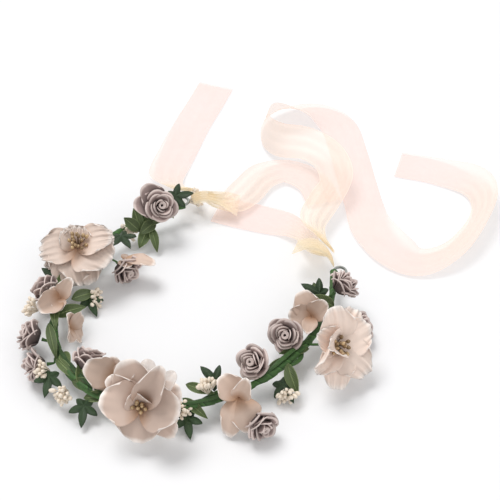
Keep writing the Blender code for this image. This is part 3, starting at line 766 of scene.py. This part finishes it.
def add_piece(name, bm, finish, slot, body, replaces=(), thickness=0):
    bmesh.ops.recalc_face_normals(bm, faces=bm.faces)
    mesh = bpy.data.meshes.new(name)
    bm.to_mesh(mesh)
    bm.free()
    mesh.materials.append(finish_of(finish))
    mesh.shade_smooth()
    piece = bpy.data.objects.new(name, mesh)
    bpy.context.scene.collection.objects.link(piece)
    if thickness:
        wall = piece.modifiers.new("thickness", "SOLIDIFY")
        wall.thickness = thickness
        wall.offset = 0
    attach(piece, body)
    if replaces:
        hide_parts(*replaces)
    return piece


def body_of(pick):
    return pick if pick in frame["bodies"] else "crown"


def cad(*names):
    return [name for name in names if name in frame["nodes"]]


def leaf_place(head, tip, facing):
    side = tip.cross(facing).normalized()
    return Matrix.Translation(head) @ Matrix((side, tip, side.cross(tip))).transposed().to_4x4()


class CrownOperator(bpy.types.Operator):
    bl_options = {"REGISTER", "UNDO"}


class FLOWER_CROWN_OT_hoop(CrownOperator):
    """Wind the hoop in tape and finish the stems and the bare wire"""
    bl_idname = "flower_crown.hoop"
    bl_label = "Hoop and Stems"

    def execute(self, context):
        sizes = context.scene.crown_sizes
        first, last = HOOP_ENDS
        bm = new_cloth()

        def shape(u, v):
            station = first + (last - first) * v
            tangent = hoop_tangent(station)
            out = tangent.cross(UP)
            angle = math.pi * u
            turn = (v * TAPE_TURNS + u / 2) % 1
            swell = 1 + 0.35 * noise.noise(Vector((station / 7, 0, 0)))
            reach = sizes.tape_radius * swell * (0.94 + 0.16 * turn)
            return hoop_point(station) + reach * (out * math.cos(angle) + UP * math.sin(angle))

        patch(bm, 14, 640, shape, 0.5, True)
        add_piece("tape", bm, "tape", "floral_tape", "crown", ["tape_wrap"])
        chance = random.Random(3)
        for number, (start, end, out, up) in enumerate(STRAPS, 1):
            path = []
            for step in range(STRAP_STEPS + 1):
                share = step / STRAP_STEPS
                path.append(pick_head(start + (end - start) * share, out * math.sin(math.pi * share),
                                      up - 2 * (2 * share - 1) ** 2))
            bm = new_cloth()
            tone = chance.random()

            def strap(u, v):
                index = round(v * STRAP_STEPS)
                sideways = way_along(path, index).cross(UP)
                lift = Vector((0, 0, 0.4 * MM * (1 - u * u)))
                return path[index] + sideways * (1.5 * MM * u * math.sin(math.pi * (0.1 + 0.8 * v))) + lift

            patch(bm, 4, STRAP_STEPS, strap, tone)
            add_piece(f"strap_{number}", bm, "strap", "floral_tape", "crown", thickness=sizes.leaf_thickness)
        for name, node in frame["nodes"].items():
            if name.endswith("_stem"):
                node.data.materials[0] = finish_of("stem")
        frame["nodes"]["hoop_wire"].data.materials[0] = finish_of("wire")
        return {"FINISHED"}


class FLOWER_CROWN_OT_blossoms(CrownOperator):
    """Make the large cloth blossoms with their stamens"""
    bl_idname = "flower_crown.blossoms"
    bl_label = "Blossoms"

    def execute(self, context):
        sizes = context.scene.crown_sizes
        chance = random.Random(4)
        for name, row in BLOSSOMS.items():
            place = pick_place(*row)
            waves, count, reach, least, most = BLOSSOM_RIMS[name]
            bm = new_cloth()
            petals(bm, place, BLOSSOM_PETALS[name], chance, 0.9 * MM, waves, 0.25 * MM, (32, 20))
            add_piece(name + "_cloth", bm, BLOSSOM_FINISHES[name], PETAL_SLOT, name,
                      [name + "_outer_petals", name + "_inner_petals"], sizes.petal_thickness)
            if name in VEIL_PETALS:
                bm = new_cloth()
                under = place @ Matrix.Translation((0, 0, -1 * MM))
                petals(bm, under, VEIL_PETALS[name], chance, 1.2 * MM, waves)
                add_piece(name + "_veil", bm, "veil", PETAL_SLOT, name, thickness=0.15 * MM)
            threads, pearls = new_cloth(), new_cloth()
            for index in range(count):
                lean = Matrix.Rotation(math.tau * index / count + chance.uniform(-0.2, 0.2), 4, "Z")
                lean = lean @ Matrix.Rotation(math.radians(chance.uniform(least, most)), 4, "Y")
                along = (place.to_3x3() @ (lean.to_3x3() @ UP)).normalized()
                start = place @ Vector((0, 0, 1 * MM))
                end = start + along * reach * chance.uniform(0.85, 1.1) * MM
                tube(threads, [start, end], [0.25 * MM] * 2, 5)
                bead(pearls, end, along, 1.25 * MM, 1.4, chance.random())
            add_piece(name + "_threads", threads, "thread", "stamen", name, [name + "_stamens"])
            add_piece(name + "_pearls", pearls, "pearl", "stamen", name)
        return {"FINISHED"}


class FLOWER_CROWN_OT_roses(CrownOperator):
    """Make the rolled foam roses"""
    bl_idname = "flower_crown.roses"
    bl_label = "Roses"

    def execute(self, context):
        sizes = context.scene.crown_sizes
        chance = random.Random(7)
        for name, row in ROSES.items():
            place = pick_place(*row)
            bm = new_cloth()
            rose(bm, place, sizes.rose_radius, chance)
            base = place @ Matrix.Translation((0, 0, -0.6 * sizes.rose_radius))
            petals(bm, base, GUARD_PETALS.get(name, ()), chance, 0.4 * MM)
            add_piece(name + "_foam", bm, "foam", ROSE_SLOT, body_of(name), cad(name + "_head"),
                      sizes.foam_thickness)
        return {"FINISHED"}


class FLOWER_CROWN_OT_florets(CrownOperator):
    """Make the small four-petalled florets"""
    bl_idname = "flower_crown.florets"
    bl_label = "Florets"

    def execute(self, context):
        sizes = context.scene.crown_sizes
        chance = random.Random(11)
        for name, row in FLORETS.items():
            bm = new_cloth()
            petals(bm, pick_place(*row), FLORET_PETALS[name], chance, 0.4 * MM)
            add_piece(name + "_cloth", bm, "floret", FLORET_SLOT, "crown", cad(name), sizes.petal_thickness)
        return {"FINISHED"}


class FLOWER_CROWN_OT_leaves(CrownOperator):
    """Make the ivy and the oval leaves"""
    bl_idname = "flower_crown.leaves"
    bl_label = "Leaves"

    def execute(self, context):
        sizes = context.scene.crown_sizes
        chance = random.Random(13)
        for name, (station, out, up, *ways) in IVY.items():
            place = leaf_place(pick_head(station, out, up), direction(*ways[:2]), direction(*ways[2:]))
            bm = new_cloth()
            ivy(bm, place, sizes.ivy_radius, chance.random())
            add_piece(name + "_blade", bm, "ivy", "ivy_leaf", "crown", cad(name), sizes.leaf_thickness)
        for name, (station, out, up, *ways, long, wide) in LEAVES.items():
            place = leaf_place(pick_head(station, out, up), direction(*ways[:2]), direction(*ways[2:]))
            base = place @ Matrix.Translation((0, -long * MM / 2, 0))
            bm = new_cloth()
            blade(bm, base, long * MM, wide * MM, (15, -25), 0.35, pointed=True, cells=(8, 12),
                  tone=chance.random())
            add_piece(name + "_blade", bm, "leaf", "oval_leaf", "crown", cad(name), sizes.leaf_thickness)
        return {"FINISHED"}


class FLOWER_CROWN_OT_berries(CrownOperator):
    """Make the sprigs of berries"""
    bl_idname = "flower_crown.berries"
    bl_label = "Berries"

    def execute(self, context):
        chance = random.Random(17)
        for name, (station, out, up, azimuth, elevation) in BERRIES.items():
            facing = direction(azimuth, elevation)
            head = pick_head(station, out, up)
            foot = head - facing * 7 * MM
            stalks, pips = new_cloth(), new_cloth()
            for index in range(SPRIG_BERRIES):
                spread = 0.85 * math.sqrt((index + 0.5) / SPRIG_BERRIES)
                lean = Matrix.Rotation(GOLDEN_TURN * index, 4, "Z") @ Matrix.Rotation(spread, 4, "Y")
                along = (turned_to(facing).to_3x3() @ (lean.to_3x3() @ UP)).normalized()
                end = foot + along * chance.uniform(6, 10) * MM
                tube(stalks, [foot, end], [0.3 * MM] * 2, 5)
                bead(pips, end, along, chance.uniform(1.0, 1.45) * MM, 1.4, chance.random())
            add_piece(name + "_stalks", stalks, "berry", "berry", "crown")
            add_piece(name + "_pips", pips, "berry", "berry", "crown", cad(name))
        return {"FINISHED"}


class FLOWER_CROWN_OT_ribbons(CrownOperator):
    """Lay the sheer ribbon tails"""
    bl_idname = "flower_crown.ribbons"
    bl_label = "Ribbons"

    def execute(self, context):
        for name, (end, route) in TAILS.items():
            station, way = (HOOP_ENDS[0], -1) if end == "left" else (HOOP_ENDS[1], 1)
            onward = hoop_tangent(station) * way
            knot = hoop_point(station) + onward.cross(UP) * way * EYELET_RADIUS
            knot += onward * (EYELET_RADIUS * 2 + KNOT_RADIUS * 0.8)
            self.lay(context, name, Vector((knot.x, knot.y, 0)), route, 0.25, [name])
        for name, route in GATHERS.items():
            replaced = cad(name.replace("gather", "knot"))
            self.lay(context, name, Vector(), route, 0.9, replaced, "gathered",
                     ["ribbon_right_tail_long_organza"])
        return {"FINISHED"}

    def lay(self, context, name, foot, route, folding, replaced, held="laid", rests_on=("floor",)):
        """One length of ribbon along a route of points, tilts and ungathered shares."""
        width = context.scene.crown_sizes.ribbon_width
        path = smooth_route([foot + Vector(row[:3]) * MM for row in route], 8)
        turns = smooth_route([Vector((row[3], row[4], 0)) for row in route], 8)
        sides = []
        for index, point in enumerate(path):
            along = way_along(path, index)
            tilt, share = turns[index].x, turns[index].y
            lowest = width * share / 2 * abs(math.sin(math.radians(tilt))) + 0.8 * MM
            point.z = max(point.z, lowest)
            sides.append(Matrix.Rotation(math.radians(tilt), 3, along) @ along.cross(UP).normalized() * share)
        last = len(path) - 1

        def shape(u, v):
            index = round(v * last)
            gather = 1 - min(1, sides[index].length)
            depth = (1.8 * gather + 0.2) * MM
            fold = Vector((0, 0, depth * (1 + math.sin((3 + 3 * gather) * math.pi * u + 2 * v))))
            return path[index] + sides[index] * (width / 2 * u) + fold

        def gathered(v):
            point = path[round(v * last)]
            return min(1, (1 - sides[round(v * last)].length) * 1.3 + folding * min(1, point.z / (14 * MM)))

        bm = new_cloth()
        patch(bm, 36, last, shape, gathered)
        piece = add_piece(name + "_organza", bm, "ribbon", "organza_ribbon", "crown", replaced)
        run = sum((after - before).length for before, after in zip(path, path[1:]))


class FLOWER_CROWN_OT_stage(CrownOperator):
    """Set out the floor, lights and camera"""
    bl_idname = "flower_crown.stage"
    bl_label = "Stage"

    def execute(self, context):
        scene = context.scene
        scene.view_settings.view_transform = "Standard"
        bm = bmesh.new()
        bmesh.ops.create_grid(bm, x_segments=1, y_segments=1, size=3)
        mesh = bpy.data.meshes.new("floor")
        bm.to_mesh(mesh)
        bm.free()
        floor = bpy.data.objects.new("floor", mesh)
        scene.collection.objects.link(floor)
        finish = Finish("floor", base_color=(0.83, 0.83, 0.84), roughness=0.9)
        mesh.materials.append(finish.material)
        world = bpy.data.worlds.new("studio")
        world.use_nodes = True
        world.node_tree.nodes["Background"].inputs["Color"].default_value = (1, 1, 1, 1)
        world.node_tree.nodes["Background"].inputs["Strength"].default_value = 0.66
        scene.world = world
        for name, place, angle, strength in LIGHTS:
            light = bpy.data.lights.new(name, "SUN")
            light.angle = math.radians(angle)
            light.energy = strength
            lamp = bpy.data.objects.new(name, light)
            lamp.location = place
            lamp.rotation_euler = (-Vector(place)).to_track_quat("-Z", "Y").to_euler()
            scene.collection.objects.link(lamp)
        lens = bpy.data.cameras.new("camera")
        lens.lens = 100
        lens.sensor_width = 36
        camera = bpy.data.objects.new("camera", lens)
        camera.location = CAMERA_PLACE
        camera.rotation_euler = (math.radians(CAMERA_TILT), 0, 0)
        scene.collection.objects.link(camera)
        scene.camera = camera
        return {"FINISHED"}


OPERATORS = (FLOWER_CROWN_OT_hoop, FLOWER_CROWN_OT_blossoms, FLOWER_CROWN_OT_roses, FLOWER_CROWN_OT_florets,
             FLOWER_CROWN_OT_leaves, FLOWER_CROWN_OT_berries, FLOWER_CROWN_OT_ribbons, FLOWER_CROWN_OT_stage)


class FLOWER_CROWN_PT_panel(bpy.types.Panel):
    """Sizes, colours and steps of the flower crown"""
    bl_label = "Flower Crown"
    bl_idname = "FLOWER_CROWN_PT_panel"
    bl_space_type = "VIEW_3D"
    bl_region_type = "UI"
    bl_category = "Flower Crown"

    def draw(self, context):
        for group in (context.scene.crown_sizes, context.scene.crown_colours):
            for key in group.__annotations__:
                self.layout.prop(group, key)
        for operator in OPERATORS:
            self.layout.operator(operator.bl_idname)


CLASSES = (CrownSizes, CrownColours, *OPERATORS, FLOWER_CROWN_PT_panel)


def register():
    for each in CLASSES:
        bpy.utils.register_class(each)
    bpy.types.Scene.crown_sizes = PointerProperty(type=CrownSizes)
    bpy.types.Scene.crown_colours = PointerProperty(type=CrownColours)


def unregister():
    del bpy.types.Scene.crown_colours
    del bpy.types.Scene.crown_sizes
    for each in reversed(CLASSES):
        bpy.utils.unregister_class(each)


def main():
    register()
    for operator in OPERATORS:
        group, name = operator.bl_idname.split(".")
        getattr(getattr(bpy.ops, group), name)()


if __name__ == "__main__":
    main()
